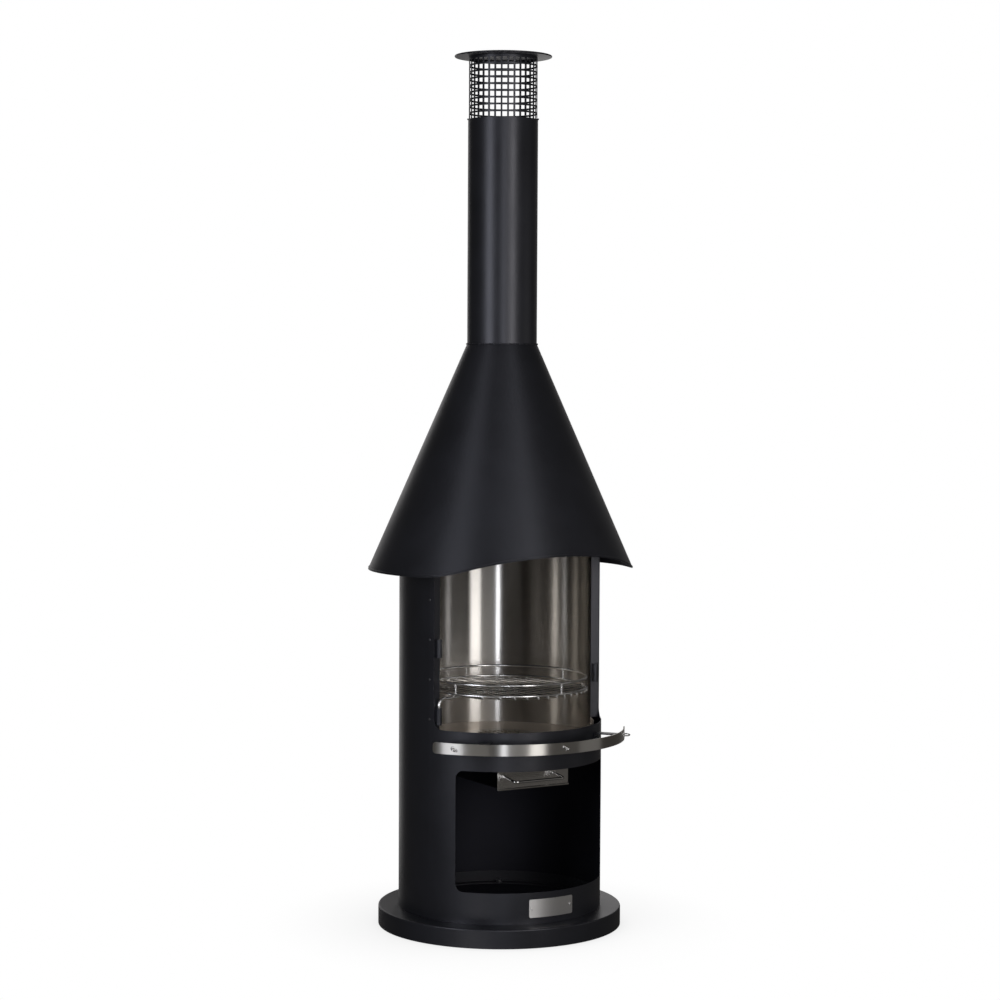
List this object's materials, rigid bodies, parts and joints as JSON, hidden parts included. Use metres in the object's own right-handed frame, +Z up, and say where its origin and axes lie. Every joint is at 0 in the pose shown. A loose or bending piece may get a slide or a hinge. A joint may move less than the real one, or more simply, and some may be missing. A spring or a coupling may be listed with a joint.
{
  "type": "chiminea",
  "caption": "Tall round steel garden fireplace: log store, open firebox with swing-out wire grill, ash drawer, curved tool rail, conical hood and flue with spark screen.",
  "frame": {"origin": "centre of the base's flat underside, on the drum's axis", "axes": "+Z up along the drum's and the flue's axis; -Y is the front with the firebox opening, the log store and the ash drawer; +X is the right-hand side seen from the front"},
  "size_m": [0.654, 0.6505, 2.1351],
  "materials": {
    "black_powder_coat": "satin heat-proof powder coat with a fine grain",
    "black_inner_steel": "matt black heat-proof paint",
    "liner_stainless": "brushed stainless sheet with an upright soft sheen",
    "hearth_stainless": "stainless sheet, slightly dull",
    "rail_stainless": "stainless band brushed along its length",
    "drawer_stainless": "brushed stainless sheet",
    "wire_stainless": "drawn stainless wire",
    "grill_wire": "bright drawn stainless wire",
    "plate_stainless": "brushed stainless, blank",
    "grate_stainless": "stainless plate, heat-dulled",
    "zinc_fasteners": "zinc-plated steel"
  },
  "bodies": {
    "root": {"ash_chute": "black_inner_steel", "base_bottom_plate": "black_powder_coat", "base_pan": "black_powder_coat", "base_screws": "zinc_fasteners", "base_spacers": "black_inner_steel", "drawer_runner_left": "black_inner_steel", "drawer_runner_right": "black_inner_steel", "drum_foot_ring": "black_inner_steel", "drum_shell": "black_powder_coat", "firebox_base_plate": "black_inner_steel", "firebox_liner": "liner_stainless", "floor_support_ring": "black_inner_steel", "flue_pipe": "black_powder_coat", "foot_bolts": "zinc_fasteners", "foot_nuts": "zinc_fasteners", "grill_socket_left_high": "black_powder_coat", "grill_socket_left_low": "black_powder_coat", "grill_socket_right": "black_powder_coat", "hearth_floor": "hearth_stainless", "hearth_rim": "hearth_stainless", "hood": "black_powder_coat", "hood_bracket_bolts": "zinc_fasteners", "hood_bracket_nuts": "zinc_fasteners", "hood_brackets": "black_inner_steel", "hood_collar": "black_inner_steel", "jamb_left": "black_powder_coat", "jamb_right": "black_powder_coat", "jamb_rivets": "zinc_fasteners", "nameplate": "plate_stainless", "nameplate_rivets": "plate_stainless", "rail_arm_bolts": "black_powder_coat", "rail_arm_left": "black_powder_coat", "rail_arm_nuts": "zinc_fasteners", "rail_arm_right": "black_powder_coat", "tool_hooks": "wire_stainless", "tool_rail": "rail_stainless"},
    "grill": {"grill_arm": "grill_wire", "grill_lower_ring": "grill_wire", "grill_upper_ring": "grill_wire", "grill_bars": "grill_wire", "grill_posts": "grill_wire"},
    "ash_drawer": {"ash_drawer_tray": "drawer_stainless", "ash_drawer_front": "drawer_stainless", "ash_drawer_handle": "wire_stainless"},
    "spark_cap": {"spark_screen": "black_powder_coat", "screen_stop_pins": "black_powder_coat", "rain_cap": "black_powder_coat"},
    "ash_grate": {"ash_grate": "grate_stainless"}
  },
  "joints": [
    {"name": "grill_swing", "type": "hinge", "parent": "root", "child": "grill", "pos_m": [-0.22224, -0.08822, 0.56], "axis": [0, 0, -1], "range_deg": [-10, 120]},
    {"name": "ash_drawer_slide", "type": "slide", "parent": "root", "child": "ash_drawer", "axis": [0, -1, 0], "range_m": [0, 0.2]},
    {"name": "spark_screen_lift", "type": "slide", "parent": "root", "child": "spark_cap", "axis": [0, 0, 1], "range_m": [0, 0.08]},
    {"name": "ash_grate_lift", "type": "slide", "parent": "root", "child": "ash_grate", "axis": [0, 0, 1], "range_m": [0, 0.06]}
  ]
}
